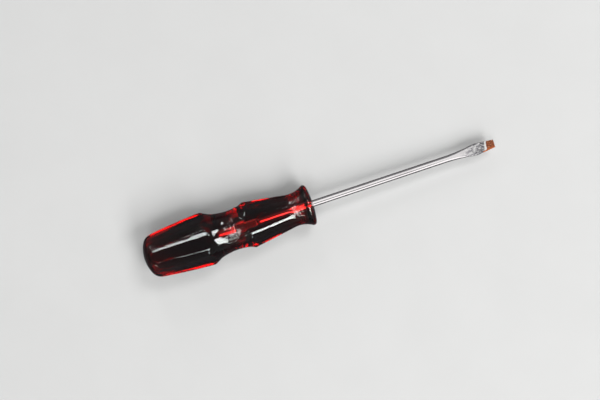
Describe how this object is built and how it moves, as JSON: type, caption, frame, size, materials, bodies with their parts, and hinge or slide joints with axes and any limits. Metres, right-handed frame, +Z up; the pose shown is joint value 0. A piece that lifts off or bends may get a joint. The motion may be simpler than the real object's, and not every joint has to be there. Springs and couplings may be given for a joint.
{
  "type": "screwdriver",
  "caption": "Flat-blade screwdriver with a round shank and a clear ruby-red fluted handle, ringed at its waist and collar, for turning slotted screws.",
  "frame": {"origin": "centre of the tip's end face, on the tool's axis", "axes": "+X along the tool's axis and out of the tip; +Z square to the tip's flats and up as the tool lies; +Y to the left, seen along +X with +Z up"},
  "size_m": [0.2409, 0.0356, 0.0328],
  "materials": {
    "clear_ruby_plastic": "gloss",
    "chromed_steel": "polished, bare and rusted on the last 5 mm of the tip"
  },
  "bodies": {
    "root": {"handle": "clear_ruby_plastic", "blade": "chromed_steel"}
  },
  "joints": []
}
